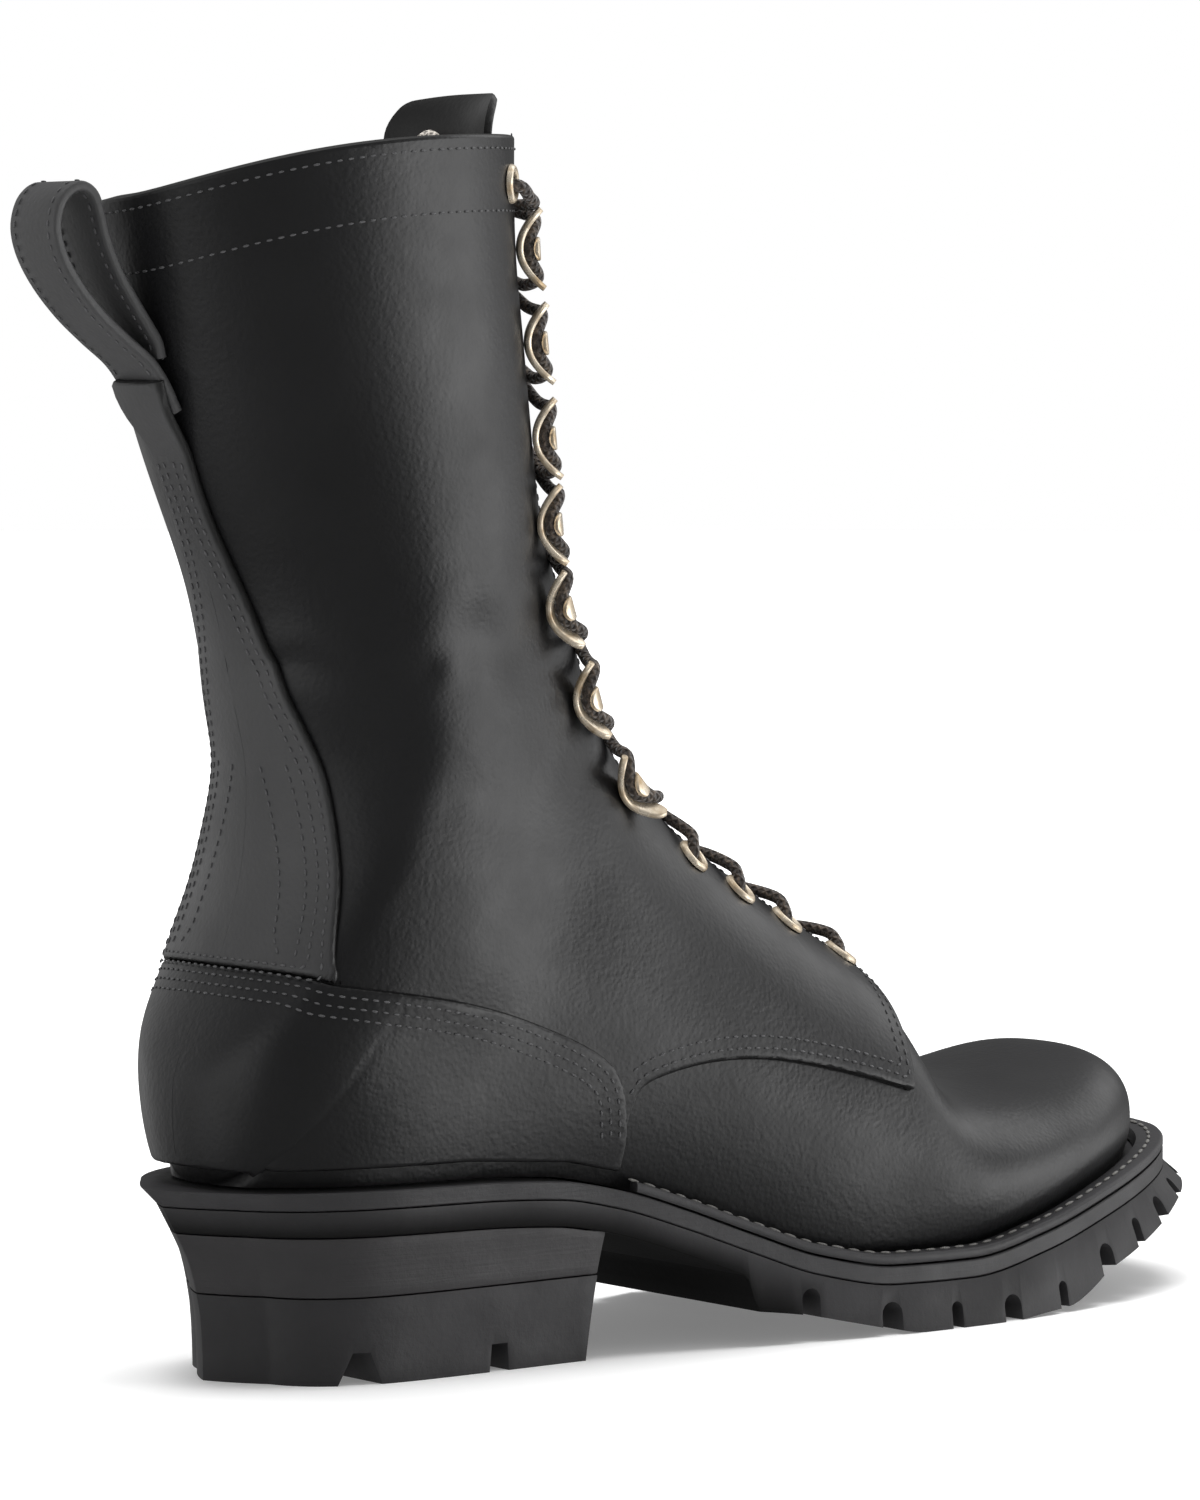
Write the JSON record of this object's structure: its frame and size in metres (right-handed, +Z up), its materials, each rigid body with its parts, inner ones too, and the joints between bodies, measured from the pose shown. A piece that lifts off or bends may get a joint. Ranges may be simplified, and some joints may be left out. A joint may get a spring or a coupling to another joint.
{
  "type": "lace-up work boot",
  "caption": "Tall black leather lace-up work boot with a high stacked heel, lugged sole, brass eyelets and speed hooks, a heel counter, backstay and rear pull loop.",
  "frame": {"origin": "on the floor, in the middle of the heel's contact face, 52 mm ahead of the heel line of the last", "axes": "+X towards the toe, +Y towards the inner side of the foot, +Z up"},
  "size_m": [0.344, 0.1092, 0.296],
  "materials": {
    "black_leather": "smooth satin black leather with light creases",
    "lining_leather": "matt dark lining and insole leather",
    "sole_edge": "dressed dark edge of welt, midsole and heel stack",
    "sole_rubber": "matt black lugged rubber",
    "aged_brass": "antique brass with rubbed bright edges",
    "lace_cord": "round braided brown and tan cord"
  },
  "bodies": {
    "root": {"upper": "black_leather", "quarters": "black_leather", "counter": "black_leather", "backstay": "black_leather", "tongue": "black_leather", "pull_loop": "black_leather", "insole": "lining_leather", "welt": "sole_edge", "midsole": "sole_edge", "heel_block": "sole_edge", "outsole": "sole_rubber", "heel_cap": "sole_rubber", "eyelet_outer_1": "aged_brass", "eyelet_outer_2": "aged_brass", "eyelet_outer_3": "aged_brass", "eyelet_outer_4": "aged_brass", "eyelet_outer_12": "aged_brass", "eyelet_inner_1": "aged_brass", "eyelet_inner_2": "aged_brass", "eyelet_inner_3": "aged_brass", "eyelet_inner_4": "aged_brass", "eyelet_inner_12": "aged_brass", "hook_outer_5": "aged_brass", "hook_outer_6": "aged_brass", "hook_outer_7": "aged_brass", "hook_outer_8": "aged_brass", "hook_outer_9": "aged_brass", "hook_outer_10": "aged_brass", "hook_outer_11": "aged_brass", "hook_inner_5": "aged_brass", "hook_inner_6": "aged_brass", "hook_inner_7": "aged_brass", "hook_inner_8": "aged_brass", "hook_inner_9": "aged_brass", "hook_inner_10": "aged_brass", "hook_inner_11": "aged_brass", "lace": "lace_cord"}
  },
  "joints": []
}
